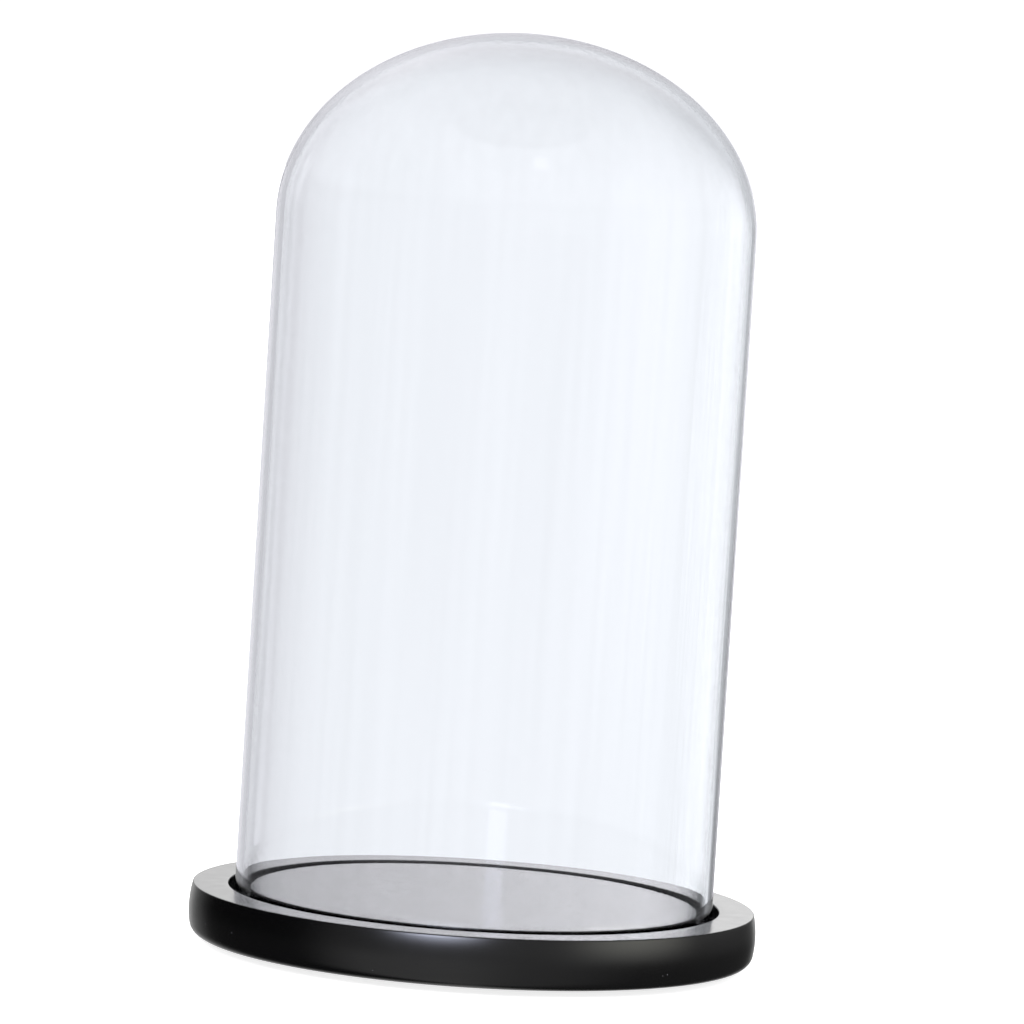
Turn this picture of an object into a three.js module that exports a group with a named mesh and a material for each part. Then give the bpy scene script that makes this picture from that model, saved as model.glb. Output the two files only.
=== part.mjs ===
// Bell jar: a blown glass dome that lifts off, the turned board whose groove it stands in, and four felt pads.
// Millimetres, +Z up. The origin is on the axis of the dome, in the plane that the pads stand on.
import * as THREE from 'three';

// Driving dimensions.
const DOME_RADIUS = 75; // outside of the straight wall
const DOME_WALL = 2.4;
const STRAIGHT_HEIGHT = 211; // from the top of the board to where the crown begins
const CROWN_HEIGHT = 59.6; // the crown is half an ellipse, flatter than a half circle
const BOARD_THICKNESS = 16;
const BOARD_RADIUS = 89; // at the fullest part of the edge
const GROOVE_DEPTH = 6;
const GROOVE_INNER_RADIUS = 69.9;
const GROOVE_OUTER_RADIUS = 77;
const PAD_THICKNESS = 2;
const PAD_RADIUS = 9;
const PAD_COUNT = 4;

// The board's edge, as a section: a long shallow curve between a broken top edge and a rounded lower one.
const FULLEST_BELOW_TOP = 7.5;
const EDGE_CURVE_RADIUS = 32;
const TOP_EDGE_RADIUS = 0.4;
const LOWER_EDGE_RADIUS = 4;
const GROOVE_EDGE_RADIUS = 0.4;
const PAD_EDGE_RADIUS = 0.4;
const PAD_INSET = 27.4; // from the fullest part of the board's edge to the middle of a pad

// Where things are, worked out from the above.
const BOARD_BOTTOM = PAD_THICKNESS;
const BOARD_TOP = BOARD_BOTTOM + BOARD_THICKNESS;
const GROOVE_FLOOR = BOARD_TOP - GROOVE_DEPTH;
const CROWN_START = BOARD_TOP + STRAIGHT_HEIGHT;

// How finely round shapes are divided.
const TURNED_SEGMENTS = 72;
const PAD_SEGMENTS = 24;
const CROWN_STEPS = 14;
const FOOT_STEPS = 8;
const EDGE_CURVE_STEPS = 3; // above and below the fullest part
const LOWER_EDGE_STEPS = 5;
const SMALL_EDGE_STEPS = 2;

const QUARTER_TURN = Math.PI / 2;
const TINY = 1e-9;

// Points along an arc of an ellipse in a section, x being the distance from the axis and y the height.
function arc(centreX, centreY, radiusX, radiusY, fromAngle, toAngle, steps) {
  const points = [];
  for (let i = 0; i <= steps; i += 1) {
    const angle = fromAngle + ((toAngle - fromAngle) * i) / steps;
    const x = centreX + radiusX * Math.cos(angle);
    const y = centreY + radiusY * Math.sin(angle);
    points.push(new THREE.Vector2(Math.abs(x) < TINY ? 0 : x, y));
  }
  return points;
}

// Turns a section about the Z axis.
function turned(section, segments) {
  const geometry = new THREE.LatheGeometry(section, segments);
  geometry.rotateX(QUARTER_TURN);
  return geometry;
}

function named(name, geometry, look) {
  const mesh = new THREE.Mesh(geometry, new THREE.MeshStandardMaterial(look));
  mesh.name = name;
  return mesh;
}

// One shell of even thickness: a straight wall, an elliptical crown and a fire-polished, fully rounded foot.
function glassDome() {
  const insideRadius = DOME_RADIUS - DOME_WALL;
  const insideCrownHeight = CROWN_HEIGHT - DOME_WALL;
  const footRadius = DOME_WALL / 2;
  const footCentre = insideRadius + footRadius;
  const footHeight = GROOVE_FLOOR + footRadius;
  const section = [
    ...arc(0, CROWN_START, insideRadius, insideCrownHeight, QUARTER_TURN, 0, CROWN_STEPS),
    ...arc(footCentre, footHeight, footRadius, footRadius, -2 * QUARTER_TURN, 0, FOOT_STEPS),
    ...arc(0, CROWN_START, DOME_RADIUS, CROWN_HEIGHT, 0, QUARTER_TURN, CROWN_STEPS),
  ];
  const clearGlass = { color: 0xf2f6f7, roughness: 0.02, metalness: 0, transparent: true, opacity: 0.3 };
  return named('glass_dome', turned(section, TURNED_SEGMENTS), clearGlass);
}

// The outer edge of the board, from the flat underside up to the flat top.
function boardEdge() {
  const curveCentreX = BOARD_RADIUS - EDGE_CURVE_RADIUS;
  const curveCentreY = BOARD_TOP - FULLEST_BELOW_TOP;

  const lowerY = BOARD_BOTTOM + LOWER_EDGE_RADIUS;
  const lowerAngle = Math.asin((lowerY - curveCentreY) / (EDGE_CURVE_RADIUS - LOWER_EDGE_RADIUS));
  const lowerX = curveCentreX + (EDGE_CURVE_RADIUS - LOWER_EDGE_RADIUS) * Math.cos(lowerAngle);

  const upperY = BOARD_TOP - TOP_EDGE_RADIUS;
  const upperAngle = Math.asin((upperY - curveCentreY) / (EDGE_CURVE_RADIUS - TOP_EDGE_RADIUS));
  const upperX = curveCentreX + (EDGE_CURVE_RADIUS - TOP_EDGE_RADIUS) * Math.cos(upperAngle);

  const r1 = LOWER_EDGE_RADIUS;
  const r2 = EDGE_CURVE_RADIUS;
  const r3 = TOP_EDGE_RADIUS;
  return [
    ...arc(lowerX, lowerY, r1, r1, -QUARTER_TURN, lowerAngle, LOWER_EDGE_STEPS),
    ...arc(curveCentreX, curveCentreY, r2, r2, lowerAngle, 0, EDGE_CURVE_STEPS).slice(1),
    ...arc(curveCentreX, curveCentreY, r2, r2, 0, upperAngle, EDGE_CURVE_STEPS).slice(1, -1),
    ...arc(upperX, upperY, r3, r3, upperAngle, QUARTER_TURN, SMALL_EDGE_STEPS),
  ];
}

// The groove that the dome stands in, from the rim's flat top down, across and up to the middle disc.
function boardGroove() {
  const r = GROOVE_EDGE_RADIUS;
  const edgeY = BOARD_TOP - r;
  return [
    ...arc(GROOVE_OUTER_RADIUS + r, edgeY, r, r, QUARTER_TURN, 2 * QUARTER_TURN, SMALL_EDGE_STEPS),
    new THREE.Vector2(GROOVE_OUTER_RADIUS, GROOVE_FLOOR),
    new THREE.Vector2(GROOVE_INNER_RADIUS, GROOVE_FLOOR),
    ...arc(GROOVE_INNER_RADIUS - r, edgeY, r, r, 0, QUARTER_TURN, SMALL_EDGE_STEPS),
  ];
}

// One turned disc with a ring groove routed in its top.
function baseBoard() {
  const section = [
    new THREE.Vector2(0, BOARD_BOTTOM),
    ...boardEdge(),
    ...boardGroove(),
    new THREE.Vector2(0, BOARD_TOP),
  ];
  const blackLacquer = { color: 0x0b0b0d, roughness: 0.35, metalness: 0 };
  return named('base_board', turned(section, TURNED_SEGMENTS), blackLacquer);
}

// A felt pad stuck to the underside of the board, its lower edge a little rounded.
function feltPad(number) {
  const r = PAD_EDGE_RADIUS;
  const section = [
    new THREE.Vector2(0, 0),
    ...arc(PAD_RADIUS - r, r, r, r, -QUARTER_TURN, 0, SMALL_EDGE_STEPS),
    new THREE.Vector2(PAD_RADIUS, PAD_THICKNESS),
    new THREE.Vector2(0, PAD_THICKNESS),
  ];
  const blackFelt = { color: 0x1a1a1b, roughness: 1, metalness: 0 };
  const pad = named(`felt_pad_${number}`, turned(section, PAD_SEGMENTS), blackFelt);
  const ringRadius = BOARD_RADIUS - PAD_INSET;
  const angle = ((number - 0.5) / PAD_COUNT) * 2 * Math.PI;
  pad.position.set(ringRadius * Math.cos(angle), ringRadius * Math.sin(angle), 0);
  return pad;
}

const bellJar = new THREE.Group();
bellJar.add(glassDome(), baseBoard());
for (let number = 1; number <= PAD_COUNT; number += 1) {
  bellJar.add(feltPad(number));
}

export default bellJar;
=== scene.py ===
"""The looks of a bell jar dome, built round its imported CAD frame: clear glass, black lacquer and felt.

Metres, +Z up, the frame's own axes. Azimuths are in degrees round the object: 0 is the side that the
camera is on (-Y) and 90 is its right-hand side (+X). Elevations are in degrees above the horizon.
"""

import math

import bpy
from mathutils import Matrix, Vector, noise


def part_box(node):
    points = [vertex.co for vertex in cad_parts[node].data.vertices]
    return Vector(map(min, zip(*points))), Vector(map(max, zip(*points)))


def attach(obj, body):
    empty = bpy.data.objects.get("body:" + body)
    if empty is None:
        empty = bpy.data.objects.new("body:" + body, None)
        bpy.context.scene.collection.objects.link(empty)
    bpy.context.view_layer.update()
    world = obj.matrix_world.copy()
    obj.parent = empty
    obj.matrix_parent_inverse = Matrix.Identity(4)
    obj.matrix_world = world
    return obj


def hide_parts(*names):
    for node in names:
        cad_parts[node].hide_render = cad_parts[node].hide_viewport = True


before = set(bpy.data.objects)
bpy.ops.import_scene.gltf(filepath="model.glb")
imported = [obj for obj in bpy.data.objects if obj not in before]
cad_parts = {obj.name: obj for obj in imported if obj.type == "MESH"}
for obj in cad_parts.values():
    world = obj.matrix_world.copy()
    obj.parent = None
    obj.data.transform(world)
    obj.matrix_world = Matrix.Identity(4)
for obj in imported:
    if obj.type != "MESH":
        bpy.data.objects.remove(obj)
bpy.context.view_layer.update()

MM = 0.001

# Sizes read from the frame.
DOME_LOW, DOME_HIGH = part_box("glass_dome")
BOARD_LOW, BOARD_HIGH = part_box("base_board")
DOME_RADIUS = DOME_HIGH.x
DOME_FOOT, DOME_TOP = DOME_LOW.z, DOME_HIGH.z
BOARD_RADIUS = BOARD_HIGH.x
BOARD_BOTTOM, BOARD_TOP = BOARD_LOW.z, BOARD_HIGH.z

# Sizes that a box doesn't give, as on the CAD model.
DOME_WALL = 2.4 * MM
CROWN_HEIGHT = 59.6 * MM
GROOVE_INNER_RADIUS = 69.9 * MM
GROOVE_OUTER_RADIUS = 77 * MM
FULLEST_BELOW_TOP = 7.5 * MM
EDGE_CURVE_RADIUS = 32 * MM
TOP_EDGE_RADIUS = 0.4 * MM
LOWER_EDGE_RADIUS = 4 * MM
GROOVE_EDGE_RADIUS = 0.4 * MM
CROWN_START = DOME_TOP - CROWN_HEIGHT

QUARTER_TURN = math.pi / 2

# How finely round shapes are divided, round the axis and along the dome's section.
DOME_SEGMENTS = 256
BOARD_SEGMENTS = 288
PAD_SEGMENTS = 96
CROWN_STEPS = 64
WALL_STEPS = 40
FOOT_STEPS = 16


# ---------------------------------------------------------------- node helpers


class Nodes:
    """Short calls for making and joining the nodes of one tree."""

    def __init__(self, tree):
        self.tree = tree
        tree.nodes.clear()

    def add(self, kind, **settings):
        node = self.tree.nodes.new(kind)
        for name, value in settings.items():
            setattr(node, name, value)
        return node

    def feed(self, socket, value):
        """Links a socket to another node's output, or sets its own value."""
        if isinstance(value, bpy.types.NodeSocket):
            self.tree.links.new(value, socket)
        else:
            socket.default_value = value

    def math(self, operation, *values):
        node = self.add("ShaderNodeMath", operation=operation)
        for socket, value in zip(node.inputs, values):
            self.feed(socket, value)
        return node.outputs[0]

    def ramp(self, value, start, end, low=0.0, high=1.0):
        """Goes smoothly from low, where value is at start, to high, where it is at end."""
        node = self.add("ShaderNodeMapRange", interpolation_type="SMOOTHSTEP")
        for socket, number in zip(node.inputs, (value, start, end, low, high)):
            self.feed(socket, number)
        return node.outputs[0]

    def profile(self, angle, stops):
        """A level that passes smoothly through (angle, level) stops, angles being from -180 to 180."""
        node = self.add("ShaderNodeValToRGB")
        self.feed(node.inputs[0], self.math("MULTIPLY_ADD", angle, 1 / 360, 0.5))
        ramp = node.color_ramp
        ramp.interpolation = "EASE"
        while len(ramp.elements) < len(stops):
            ramp.elements.new(0.5)
        for element, (stop, _) in zip(ramp.elements, stops):
            element.position = stop / 360 + 0.5
        for element, (_, level) in zip(ramp.elements, stops):
            element.color = (level, level, level, 1)
        return node.outputs[0]

    def band(self, value, start, end, soft):
        """1 between start and end, and 0 outside them, with soft edges."""
        rise = self.ramp(value, start - soft, start + soft)
        fall = self.ramp(value, end - soft, end + soft, 1.0, 0.0)
        return self.math("MULTIPLY", rise, fall)

    def mix(self, share, first, second):
        """A number from first to second, by share."""
        node = self.add("ShaderNodeMix", data_type="FLOAT")
        self.feed(node.inputs[0], share)
        self.feed(node.inputs[2], first)
        self.feed(node.inputs[3], second)
        return node.outputs[0]

    def mix_colour(self, share, first, second):
        """A colour from first to second, by share."""
        node = self.add("ShaderNodeMix", data_type="RGBA", blend_type="MIX")
        self.feed(node.inputs[0], share)
        self.feed(node.inputs[6], first)
        self.feed(node.inputs[7], second)
        return node.outputs[2]

    def place(self, scale):
        """The point on the object, in metres, times scale."""
        coordinates = self.add("ShaderNodeTexCoord")
        mapping = self.add("ShaderNodeMapping")
        self.feed(mapping.inputs["Vector"], coordinates.outputs["Object"])
        mapping.inputs["Scale"].default_value = scale
        return mapping.outputs[0]

    def noise(self, scale, detail, roughness=0.5):
        """Smooth noise from 0 to 1. scale is how many times it changes in a metre, along X, Y and Z."""
        node = self.add("ShaderNodeTexNoise")
        self.feed(node.inputs["Vector"], self.place(scale))
        node.inputs["Scale"].default_value = 1.0
        node.inputs["Detail"].default_value = detail
        node.inputs["Roughness"].default_value = roughness
        return node.outputs["Fac"]

    def bump(self, height, distance, strength):
        """A normal for a surface as rough as height, where a height of 1 stands for distance."""
        node = self.add("ShaderNodeBump")
        node.inputs["Strength"].default_value = strength
        node.inputs["Distance"].default_value = distance
        self.feed(node.inputs["Height"], height)
        return node.outputs[0]


def new_material(name):
    material = bpy.data.materials.new(name)
    material.use_nodes = True
    return material, Nodes(material.node_tree)


# ---------------------------------------------------------------- materials


def clear_glass():
    """Blown glass: clear, with a painted shade that makes it a little darker at grazing angles, and faint
    drawing streaks up its wall.
    """
    material, nodes = new_material("clear_glass")
    output = nodes.add("ShaderNodeOutputMaterial")
    shader = nodes.add("ShaderNodeBsdfPrincipled")
    shader.inputs["Transmission Weight"].default_value = 1.0
    shader.inputs["IOR"].default_value = 1.5
    shader.inputs["Roughness"].default_value = 0.0

    # The noise changes fast round the wall and slowly up it, which draws it out into streaks.
    streaks = nodes.noise((260, 260, 5), detail=3.0)
    in_a_streak = 0.985
    streak_tint = nodes.ramp(streaks, 0.35, 0.65, in_a_streak, 1.0)
    # Painted shade: the glass is tinted a little darker where it is seen edge-on, in place of the dark
    # rims that its reflections give.
    facing = nodes.add("ShaderNodeLayerWeight")
    facing.inputs["Blend"].default_value = 0.5
    grazing = nodes.ramp(facing.outputs["Facing"], 0.6, 1.0)
    face_on, edge_on_painted_shade = (0.992, 0.994, 0.995, 1), (0.965, 0.97, 0.972, 1)
    plain = nodes.mix_colour(grazing, face_on, edge_on_painted_shade)
    tint = nodes.add("ShaderNodeVectorMath", operation="SCALE")
    nodes.feed(tint.inputs[0], plain)
    nodes.feed(tint.inputs["Scale"], streak_tint)
    nodes.feed(shader.inputs["Base Color"], tint.outputs[0])

    fine = nodes.noise((420, 420, 9), detail=2.0)
    nodes.feed(shader.inputs["Normal"], nodes.bump(fine, 0.02 * MM, 0.5))
    nodes.feed(output.inputs["Surface"], shader.outputs[0])

    volume = nodes.add("ShaderNodeVolumeAbsorption")
    volume.inputs["Color"].default_value = (0.6, 0.78, 0.72, 1)
    volume.inputs["Density"].default_value = 6.0
    nodes.feed(output.inputs["Volume"], volume.outputs[0])
    return material


def black_lacquer():
    """Satin black lacquer: a faint orange peel, small changes of gloss and a few dust specks."""
    material, nodes = new_material("black_lacquer")
    output = nodes.add("ShaderNodeOutputMaterial")
    shader = nodes.add("ShaderNodeBsdfPrincipled")

    shade = nodes.noise((14, 14, 14), detail=3.0)
    deep, pale = (0.0006, 0.0006, 0.0007, 1), (0.0013, 0.0013, 0.0014, 1)
    black = nodes.mix_colour(shade, deep, pale)

    # A speck in the middle of each cell, of which only a few show.
    cells_per_metre = 620
    core, rim = 0.05, 0.11
    dust = nodes.add("ShaderNodeTexVoronoi")
    nodes.feed(dust.inputs["Vector"], nodes.place((cells_per_metre,) * 3))
    dust.inputs["Scale"].default_value = 1.0
    speck = nodes.ramp(dust.outputs["Distance"], core, rim, 1.0, 0.0)
    rare = nodes.ramp(nodes.noise((190, 190, 190), detail=0.0), 0.72, 0.76)
    speck = nodes.math("MULTIPLY", speck, rare)
    grey_dust = (0.16, 0.16, 0.17, 1)
    nodes.feed(shader.inputs["Base Color"], nodes.mix_colour(speck, black, grey_dust))

    shader.inputs["IOR"].default_value = 1.45
    gloss = nodes.noise((240, 240, 240), detail=4.0)
    glossiest, dullest = 0.215, 0.23
    nodes.feed(shader.inputs["Roughness"], nodes.ramp(gloss, 0.3, 0.7, glossiest, dullest))
    peel = nodes.noise((900, 900, 900), detail=2.0)
    nodes.feed(shader.inputs["Normal"], nodes.bump(peel, 0.004 * MM, 0.6))
    nodes.feed(output.inputs["Surface"], shader.outputs[0])
    return material


def black_felt():
    """Matted wool felt: dark, tangled fibres with a soft sheen, and painted shade between the fibres."""
    material, nodes = new_material("black_felt")
    output = nodes.add("ShaderNodeOutputMaterial")
    shader = nodes.add("ShaderNodeBsdfPrincipled")
    shader.inputs["Roughness"].default_value = 0.95
    shader.inputs["Sheen Weight"].default_value = 0.5
    shader.inputs["Sheen Roughness"].default_value = 0.6
    tangle = nodes.noise((2600, 1500, 2600), detail=5.0, roughness=0.7)
    across = nodes.noise((1300, 2900, 1900), detail=4.0, roughness=0.7)
    fibres = nodes.math("MAXIMUM", tangle, across)
    # Painted shade and light: the colour is darker between the fibres and lighter on their raised tips,
    # by the same heights as the bump.
    painted_shade_between_fibres, painted_light_fibre_tips = (0.012, 0.012, 0.013, 1), (0.06, 0.06, 0.063, 1)
    raised_painted_light = nodes.ramp(fibres, 0.45, 0.75)
    nodes.feed(shader.inputs["Base Color"], nodes.mix_colour(raised_painted_light, painted_shade_between_fibres, painted_light_fibre_tips))
    nodes.feed(shader.inputs["Normal"], nodes.bump(fibres, 0.15 * MM, 0.8))
    nodes.feed(output.inputs["Surface"], shader.outputs[0])
    return material


# ---------------------------------------------------------------- shapes


def arc(centre, radii, start, end, steps):
    """Points of an ellipse's arc in a section, as (distance from the axis, height)."""
    points = []
    for i in range(steps + 1):
        angle = start + (end - start) * i / steps
        distance = centre[0] + radii[0] * math.cos(angle)
        height = centre[1] + radii[1] * math.sin(angle)
        points.append((distance, height))
    return points


def line(start, end, steps):
    """Points from start to end, without start and end themselves."""
    return [
        tuple(a + (b - a) * i / steps for a, b in zip(start, end))
        for i in range(1, steps)
    ]


def turned(name, section, segments, material, place=None):
    """Turns a section that starts and ends on the axis into a closed mesh. place may move points."""
    vertices, rings = [], []
    last = len(section) - 1
    for i, (radius, height) in enumerate(section):
        on_axis = i in (0, last)
        ring = []
        for j in range(1 if on_axis else segments):
            turn = 2 * math.pi * j / segments
            point = Vector((radius * math.cos(turn), radius * math.sin(turn), height))
            if on_axis:
                point = Vector((0, 0, height))
            ring.append(len(vertices))
            vertices.append(place(point, i) if place else point)
        rings.append(ring * segments if on_axis else ring)
    faces = []
    for i in range(last):
        for j in range(segments):
            k = (j + 1) % segments
            corners = (rings[i][j], rings[i][k], rings[i + 1][k], rings[i + 1][j])
            faces.append(tuple(dict.fromkeys(corners)))
    mesh = bpy.data.meshes.new(name)
    mesh.from_pydata([tuple(v) for v in vertices], [], faces)
    mesh.polygons.foreach_set("use_smooth", [True] * len(mesh.polygons))
    mesh.materials.append(material)
    mesh.update()
    piece = bpy.data.objects.new(name, mesh)
    bpy.context.scene.collection.objects.link(piece)
    return piece


def dome_section():
    """The dome's section: down the inside from the crown, round the foot and up the outside."""
    inside = DOME_RADIUS - DOME_WALL
    foot_radius = DOME_WALL / 2
    foot_centre = (inside + foot_radius, DOME_FOOT + foot_radius)
    centre = (0, CROWN_START)
    return [
        *arc(centre, (inside, CROWN_HEIGHT - DOME_WALL), QUARTER_TURN, 0, CROWN_STEPS),
        *line((inside, CROWN_START), (inside, foot_centre[1]), WALL_STEPS),
        *arc(foot_centre, (foot_radius, foot_radius), math.pi, 2 * math.pi, FOOT_STEPS),
        *line((DOME_RADIUS, foot_centre[1]), (DOME_RADIUS, CROWN_START), WALL_STEPS),
        *arc(centre, (DOME_RADIUS, CROWN_HEIGHT), 0, QUARTER_TURN, CROWN_STEPS),
    ]


def blown(point, index):
    """Moves a point of the dome in by up to a tenth of a millimetre, as blown glass varies."""
    depth = 0.10 * MM
    width, length = 30 * MM, 110 * MM
    elsewhere = Vector((7.3, 1.9, 4.1))
    outside = Vector((point.x / width, point.y / width, point.z / length))
    inside = outside + elsewhere
    past_foot = (index - CROWN_STEPS - WALL_STEPS) / FOOT_STEPS
    share = min(max(past_foot, 0), 1)
    change = noise.noise(inside) * (1 - share) + noise.noise(outside) * share
    centre = Vector((0, 0, min(point.z, CROWN_START)))
    return point + (centre - point).normalized() * depth * (0.5 + 0.5 * change)


def board_section():
    """The board's section: its underside, round its edge, then in over rim, groove and disc."""
    curve_centre = (BOARD_RADIUS - EDGE_CURVE_RADIUS, BOARD_TOP - FULLEST_BELOW_TOP)

    def corner_on_curve(radius, height):
        """The centre of a corner that meets the edge's curve, and the angle at which they meet."""
        reach = EDGE_CURVE_RADIUS - radius
        angle = math.asin((height - curve_centre[1]) / reach)
        return (curve_centre[0] + reach * math.cos(angle), height), angle

    lower, lower_angle = corner_on_curve(LOWER_EDGE_RADIUS, BOARD_BOTTOM + LOWER_EDGE_RADIUS)
    upper, upper_angle = corner_on_curve(TOP_EDGE_RADIUS, BOARD_TOP - TOP_EDGE_RADIUS)
    floor = DOME_FOOT
    floor_corner = 0.5 * MM
    groove_outer_foot = (GROOVE_OUTER_RADIUS - floor_corner, floor + floor_corner)
    groove_inner_foot = (GROOVE_INNER_RADIUS + floor_corner, floor + floor_corner)
    groove_outer_edge = (GROOVE_OUTER_RADIUS + GROOVE_EDGE_RADIUS, BOARD_TOP - GROOVE_EDGE_RADIUS)
    groove_inner_edge = (GROOVE_INNER_RADIUS - GROOVE_EDGE_RADIUS, BOARD_TOP - GROOVE_EDGE_RADIUS)

    lower_round = (LOWER_EDGE_RADIUS, LOWER_EDGE_RADIUS)
    curve = (EDGE_CURVE_RADIUS, EDGE_CURVE_RADIUS)
    top_round = (TOP_EDGE_RADIUS, TOP_EDGE_RADIUS)
    groove_round = (GROOVE_EDGE_RADIUS, GROOVE_EDGE_RADIUS)
    floor_round = (floor_corner, floor_corner)

    underside_steps, rim_steps, disc_steps = 24, 6, 30
    lower_steps, curve_steps, small_steps, floor_steps = 12, 10, 6, 4
    return [
        (0, BOARD_BOTTOM),
        *line((0, BOARD_BOTTOM), (lower[0], BOARD_BOTTOM), underside_steps),
        *arc(lower, lower_round, -QUARTER_TURN, lower_angle, lower_steps),
        *arc(curve_centre, curve, lower_angle, 0, curve_steps)[1:],
        *arc(curve_centre, curve, 0, upper_angle, curve_steps)[1:-1],
        *arc(upper, top_round, upper_angle, QUARTER_TURN, small_steps),
        *line((upper[0], BOARD_TOP), (groove_outer_edge[0], BOARD_TOP), rim_steps),
        *arc(groove_outer_edge, groove_round, QUARTER_TURN, math.pi, small_steps),
        *arc(groove_outer_foot, floor_round, 0, -QUARTER_TURN, floor_steps),
        *arc(groove_inner_foot, floor_round, -QUARTER_TURN, -math.pi, floor_steps),
        *arc(groove_inner_edge, groove_round, 0, QUARTER_TURN, small_steps),
        *line((groove_inner_edge[0], BOARD_TOP), (0, BOARD_TOP), disc_steps),
        (0, BOARD_TOP),
    ]


def make_dome(material):
    dome = turned("dome_glass", dome_section(), DOME_SEGMENTS, material, blown)
    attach(dome, "dome")
    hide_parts("glass_dome")


def make_board(material):
    board = turned("board_lacquered", board_section(), BOARD_SEGMENTS, material)
    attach(board, "base")
    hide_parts("base_board")
    return board


def make_pads(material):
    """Felt pads: round, with a soft lower edge, a slightly ragged outline and a lumpy face."""
    for node in sorted(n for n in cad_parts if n.startswith("felt_pad")):
        low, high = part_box(node)
        radius, thickness = (high.x - low.x) / 2, high.z - low.z
        centre = Vector(((low.x + high.x) / 2, (low.y + high.y) / 2, 0))
        soft_edge = 0.6 * MM

        def felted(point, index, centre=centre, radius=radius, thickness=thickness):
            lump_size, tuft_size = 1.1 * MM, 0.5 * MM
            lump_height, raggedness = 0.05 * MM, 0.006
            lump = noise.noise((point + centre) / lump_size)
            ragged = noise.noise((point + centre) / tuft_size)
            share = point.to_2d().length / radius
            moved = point * (1 - raggedness * (1 + ragged) * share)
            moved.z = point.z
            if point.z < thickness / 2:
                moved.z += lump_height * (1 + lump)
            return moved + centre

        section = [
            (0, 0),
            *line((0, 0), (radius - soft_edge, 0), 20),
            *arc((radius - soft_edge, soft_edge), (soft_edge, soft_edge), -QUARTER_TURN, 0, 6),
            *line((radius, soft_edge), (radius, thickness), 4),
            (radius, thickness),
            *line((radius, thickness), (0, thickness), 4),
            (0, thickness),
        ]
        name = node.replace("felt_pad", "pad_felted")
        pad = turned(name, section, PAD_SEGMENTS, material, felted)
        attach(pad, "base")
        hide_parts(node)


# ---------------------------------------------------------------- studio


# The studio's brightness, as (angle, level) stops in belts of elevation. A level of 1 just looks white.

# Seen straight through the glass, by the angle from straight behind, positive to the right.
BACKDROP_LOW = (
    (-180, 1.0), (-34, 1.0), (-24, 1.3), (-16, 1.55), (-12.5, 1.34), (-9.5, 1.13), (-7, 1.13),
    (-5, 1.1), (-3.5, 1.05), (-1.5, 1.025), (1, 1.045), (4, 1.15), (8, 1.68), (11, 2.1), (15, 2.2),
    (21, 2.1), (28, 1.3), (36, 1.0), (180, 1.0),
)
BACKDROP_HIGH = (
    (-180, 1.0), (-40, 1.0), (-24, 1.4), (-12, 1.62), (-6, 1.28), (-2, 1.04), (3, 0.975), (5, 0.95),
    (8, 0.98), (11, 1.1), (14, 1.2), (24, 1.2), (40, 1.0), (180, 1.0),
)

# Mirrored, and seen through glass as well, by azimuth.
INSIDE_LEVEL = (
    (-180, 1.15), (-165, 1.0), (-158, 0.82), (-150, 0.78), (-146, 0.6), (-140, 0.2), (-116, 0.3),
    (-75, 0.45), (0, 0.38), (25, 0.2), (50, 0.42), (90, 0.4), (112, 0.15), (143, 0.15), (149, 0.9),
    (154, 1.22), (158, 0.92), (161, 0.82), (165, 1.05), (170, 1.12), (178, 1.12),
)
INSIDE_ABOVE = (
    (-180, 0.68), (-165, 0.82), (-150, 0.82), (-140, 0.5), (-110, 0.42), (-75, 0.45), (0, 0.42),
    (100, 0.3), (125, 0.3), (147, 0.5), (155, 0.82), (170, 0.75), (180, 0.68),
)
INSIDE_BELOW = (
    (-180, 1.0), (-165, 0.92), (-150, 0.72), (-146, 0.55), (-140, 0.18), (-116, 0.28), (-75, 0.4),
    (0, 0.3), (60, 0.35), (112, 0.15), (143, 0.15), (149, 1.05), (154, 1.3), (157, 1.05),
    (161, 0.45), (166, 0.42), (178, 0.8),
)

# Mirrored by an outer surface, with no glass between, by azimuth.
DIRECT_LEVEL = (
    (-180, 1.0), (-172, 0.85), (-163, 0.75), (-150, 0.25), (-132, 0.01), (-75, 0.01), (-50, 0.4),
    (-20, 0.65), (25, 0.55), (60, 0.85), (110, 0.25), (145, 0.12), (158, 0.15), (162, 0.45),
    (165, 0.95), (169, 1.15), (176, 1.15),
)
DIRECT_ABOVE = (
    (-180, 0.85), (-165, 0.75), (-150, 0.3), (-132, 0.01), (-75, 0.01), (-50, 0.35), (-10, 0.7),
    (25, 0.6), (60, 1.0), (110, 0.4), (145, 0.2), (160, 0.45), (170, 0.65), (180, 0.85),
)
DIRECT_BELOW = (
    (-180, 0.9), (-170, 0.8), (-150, 0.3), (-132, 0.04), (-75, 0.05), (-40, 0.8), (-10, 0.9),
    (30, 0.5), (80, 0.15), (150, 0.06), (160, 0.1), (167, 0.55), (176, 0.95),
)

# Where each belt starts to take over from the one under it, and where it has, in degrees of elevation.
BELOW_STARTS = (-16, -10)
LEVEL_STARTS = (-9, -4.5)
ABOVE_STARTS = (-3, 5)
HIGH_STARTS = (28, 55)

CAMERA_LEVEL = 1.1  # what the camera sees past the object
MATT_LEVEL = 1.6  # what lights the matt share of every surface
STREAK_LEVEL = 3.7  # added by the strip light
GLINT_LEVEL = 1.2  # added by the high window


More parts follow.
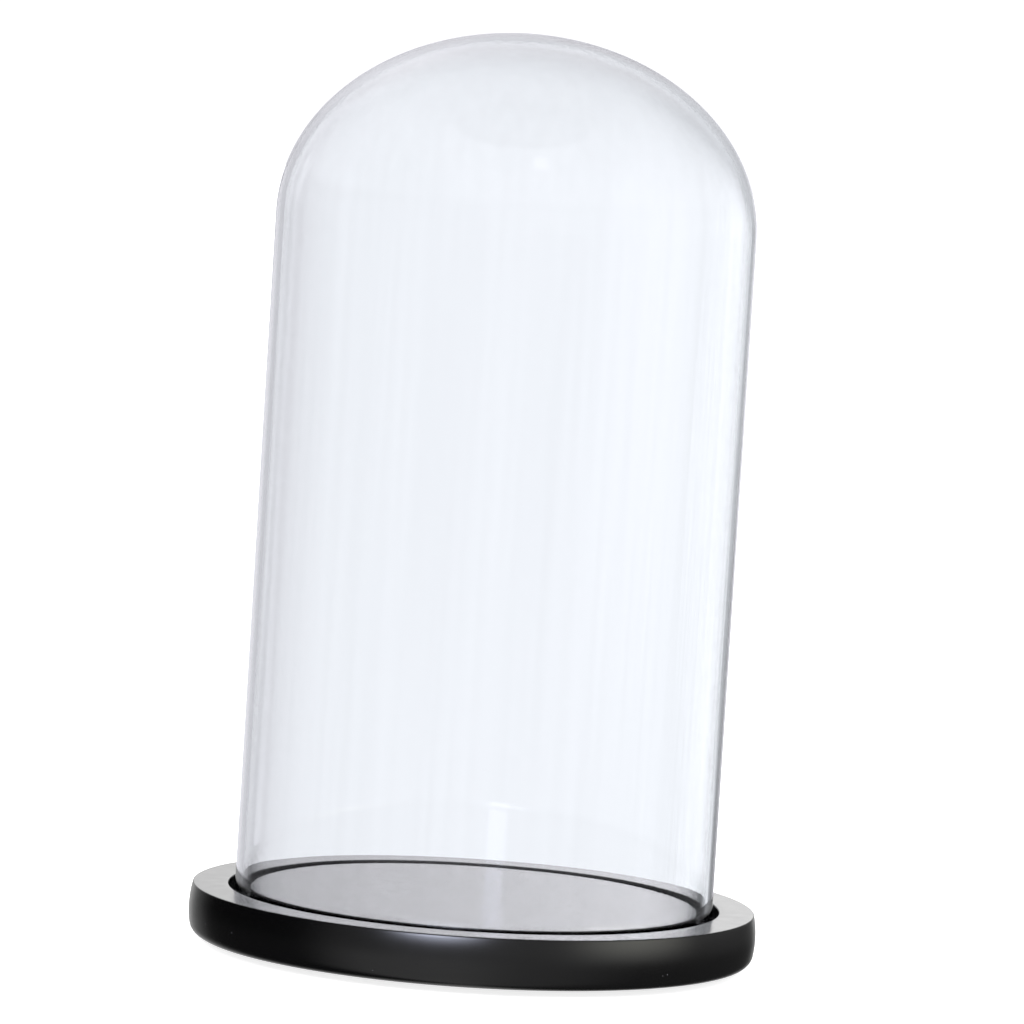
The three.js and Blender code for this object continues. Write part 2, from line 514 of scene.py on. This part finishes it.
def studio_world():
    """A pale studio. The camera sees plain white, and glass and lacquer see the levels above."""
    world = bpy.data.worlds.new("studio")
    bpy.context.scene.world = world
    world.use_nodes = True
    nodes = Nodes(world.node_tree)
    output = nodes.add("ShaderNodeOutputWorld")
    background = nodes.add("ShaderNodeBackground")
    nodes.feed(output.inputs["Surface"], background.outputs[0])

    direction = nodes.add("ShaderNodeTexCoord").outputs["Generated"]
    split = nodes.add("ShaderNodeSeparateXYZ")
    nodes.feed(split.inputs[0], direction)
    x, y, z = split.outputs
    azimuth = nodes.math("DEGREES", nodes.math("ARCTAN2", x, nodes.math("MULTIPLY", y, -1.0)))
    behind = nodes.math("DEGREES", nodes.math("ARCTAN2", x, y))
    elevation = nodes.math("DEGREES", nodes.math("ARCSINE", z))

    def belts(angle, low, below, level, above, high):
        """Three belts of profiles, with the plain level low under them and high over them."""
        result = nodes.mix(nodes.ramp(elevation, *BELOW_STARTS), low, nodes.profile(angle, below))
        result = nodes.mix(nodes.ramp(elevation, *LEVEL_STARTS), result, nodes.profile(angle, level))
        result = nodes.mix(nodes.ramp(elevation, *ABOVE_STARTS), result, nodes.profile(angle, above))
        return nodes.mix(nodes.ramp(elevation, *HIGH_STARTS), result, high)

    # Well below the horizon the backdrop is a little grey, so that the glass shows when it is lifted.
    low_backdrop = 0.96
    through = belts(behind, 1.0, BACKDROP_LOW, BACKDROP_LOW, BACKDROP_HIGH, 0.8)
    through = nodes.mix(nodes.ramp(elevation, -12, -9), low_backdrop, through)
    inside = belts(azimuth, 0.5, INSIDE_BELOW, INSIDE_LEVEL, INSIDE_ABOVE, 0.5)
    under = nodes.profile(azimuth, DIRECT_BELOW)
    direct = belts(azimuth, under, DIRECT_BELOW, DIRECT_LEVEL, DIRECT_ABOVE, 0.5)

    path = nodes.add("ShaderNodeLightPath")
    past_glass = nodes.math("GREATER_THAN", path.outputs["Transmission Depth"], 0.5)
    past_two_walls = nodes.math("GREATER_THAN", path.outputs["Transmission Depth"], 3.5)
    mirrored = nodes.math("GREATER_THAN", path.outputs["Glossy Depth"], 0.5)
    satin = nodes.math("SUBTRACT", 1.0, path.outputs["Is Singular Ray"])

    # A brighter panel low on the backdrop, brighter still at its right, which the top of the board
    # mirrors: the disc past two walls of glass, and the rim past none.
    panel = nodes.math("MULTIPLY", nodes.band(behind, -8, 8, 3), nodes.band(elevation, 5, 16, 2.5))
    on_disc = nodes.math("MULTIPLY", panel, past_two_walls)
    on_rim = nodes.math("MULTIPLY", panel, satin)
    inside = nodes.mix(on_disc, inside, nodes.ramp(behind, -1.2, 3.6, 1.84, 2.72))
    direct = nodes.mix(on_rim, direct, nodes.ramp(behind, -3.5, 3.5, 1.68, 2.2))

    # A tall strip light in front, which makes the streak on the disc.
    strip = nodes.math("MULTIPLY", nodes.band(azimuth, -14, -5, 1), nodes.band(elevation, 3, 30, 3))
    strip = nodes.math("MULTIPLY", strip, past_two_walls)
    inside = nodes.math("ADD", inside, nodes.math("MULTIPLY", strip, STREAK_LEVEL))

    # A small high window in front, which makes the glint on the crown.
    window = nodes.math("MULTIPLY", nodes.band(azimuth, 9, 18, 2), nodes.band(elevation, 47, 55, 2))
    direct = nodes.math("ADD", direct, nodes.math("MULTIPLY", window, GLINT_LEVEL))

    level = nodes.mix(mirrored, through, nodes.mix(past_glass, direct, inside))
    level = nodes.mix(path.outputs["Is Diffuse Ray"], level, MATT_LEVEL)
    level = nodes.mix(path.outputs["Is Camera Ray"], level, CAMERA_LEVEL)

    # Faint tints. Only what the lacquer mirrors with no glass between has none.
    blue, lilac = (0.972, 0.998, 1.055, 1), (0.99, 0.993, 1.06, 1)
    panel_tint, strip_tint = (1.0, 0.99, 1.045, 1), (0.9, 0.95, 1.2, 1)
    sharp_tint, no_tint = (0.985, 0.98, 1.05, 1), (1, 1, 1, 1)
    from_left = nodes.ramp(behind, -9, -2, 1.0, 0.0)
    through_glass = nodes.mix_colour(from_left, blue, lilac)
    through_glass = nodes.mix_colour(panel, through_glass, panel_tint)
    through_glass = nodes.mix_colour(strip, through_glass, strip_tint)
    off_a_surface = nodes.mix_colour(satin, sharp_tint, no_tint)
    colour = nodes.mix_colour(past_glass, off_a_surface, through_glass)
    nodes.feed(background.inputs["Color"], colour)
    nodes.feed(background.inputs["Strength"], level)


def studio_floor():
    """A plain white table top, clear from below. It isn't mirrored, nor seen through the glass."""
    reach = 6.0
    mesh = bpy.data.meshes.new("floor")
    corners = [(-reach, -reach, 0), (reach, -reach, 0), (reach, reach, 0), (-reach, reach, 0)]
    mesh.from_pydata(corners, [], [(0, 1, 2, 3)])
    floor = bpy.data.objects.new("floor", mesh)
    bpy.context.scene.collection.objects.link(floor)
    material, nodes = new_material("floor_white")
    output = nodes.add("ShaderNodeOutputMaterial")
    shader = nodes.add("ShaderNodeBsdfPrincipled")
    white, glow = (0.92, 0.92, 0.92, 1), (1, 1, 1, 1)
    shader.inputs["Base Color"].default_value = white
    shader.inputs["Roughness"].default_value = 0.9
    shader.inputs["Emission Color"].default_value = glow
    shader.inputs["Emission Strength"].default_value = 0.8
    clear = nodes.add("ShaderNodeBsdfTransparent")
    from_below = nodes.add("ShaderNodeNewGeometry").outputs["Backfacing"]
    sides = nodes.add("ShaderNodeMixShader")
    for socket, value in zip(sides.inputs, (from_below, shader.outputs[0], clear.outputs[0])):
        nodes.feed(socket, value)
    nodes.feed(output.inputs["Surface"], sides.outputs[0])
    mesh.materials.append(material)
    floor.visible_glossy = False
    floor.visible_transmission = False


def soft_light(name, azimuth, elevation, size, level, colour, lit):
    """A soft light on the piece lit alone. size is how wide and tall the board sees it, in degrees."""
    turn, rise, distance = math.radians(azimuth), math.radians(elevation), 2.0
    target = Vector((0, 0, BOARD_TOP))
    data = bpy.data.lights.new(name, "AREA")
    data.shape = "RECTANGLE"
    data.size, data.size_y = (2 * distance * math.tan(math.radians(angle / 2)) for angle in size)
    data.color = colour
    data.energy = level * math.pi * data.size * data.size_y
    lamp = bpy.data.objects.new(name, data)
    level_out = distance * math.cos(rise)
    lamp.location = (
        level_out * math.sin(turn),
        -level_out * math.cos(turn),
        BOARD_TOP + distance * math.sin(rise),
    )
    lamp.rotation_euler = (target - lamp.location).to_track_quat("-Z", "Y").to_euler()
    lamp.visible_camera = False
    data.use_nodes = True
    nodes = Nodes(data.node_tree)
    split = nodes.add("ShaderNodeSeparateXYZ")
    nodes.feed(split.inputs[0], nodes.add("ShaderNodeNewGeometry").outputs["Parametric"])
    across = nodes.band(split.outputs[0], 0.25, 0.75, 0.25)
    down = nodes.band(split.outputs[1], 0.25, 0.75, 0.25)
    emission = nodes.add("ShaderNodeEmission")
    nodes.feed(emission.inputs["Strength"], nodes.math("MULTIPLY", across, down))
    nodes.feed(nodes.add("ShaderNodeOutputLight").inputs["Surface"], emission.outputs[0])
    bpy.context.scene.collection.objects.link(lamp)
    only = bpy.data.collections.new(name + "_lights")
    only.objects.link(lit)
    lamp.light_linking.receiver_collection = only


def make_camera():
    """A long lens, looking down a little on the dome's middle and rolled so that the dome leans right."""
    elevation = math.radians(4.756)
    roll = math.radians(3.6545)
    distance = 2.2376
    pivot = Vector((0, 0, BOARD_TOP + 0.130))
    aim_right, aim_down = 0.0043, 0.0086
    aim = pivot + Vector((aim_right, 0, -aim_down))
    data = bpy.data.cameras.new("camera")
    data.sensor_width = 36
    data.lens = 252.1
    data.clip_start, data.clip_end = 0.1, 50
    camera = bpy.data.objects.new("camera", data)
    bpy.context.scene.collection.objects.link(camera)
    camera.location = pivot + distance * Vector((0, -math.cos(elevation), math.sin(elevation)))
    look = (aim - camera.location).to_track_quat("-Z", "Y").to_matrix().to_4x4()
    camera.matrix_world = Matrix.Translation(camera.location) @ look @ Matrix.Rotation(roll, 4, "Z")
    bpy.context.scene.camera = camera


make_camera()
make_dome(clear_glass())
board = make_board(black_lacquer())
make_pads(black_felt())
studio_world()
studio_floor()
lilac_light, warm_light = (0.78, 0.82, 1.0), (1.0, 1.0, 0.88)
soft_light("left_softbox", -14, 20, size=(44, 22), level=27.0, colour=lilac_light, lit=board)
soft_light("right_softbox", 70, 13, size=(70, 44), level=2.2, colour=warm_light, lit=board)
bpy.context.scene.view_settings.view_transform = "Standard"
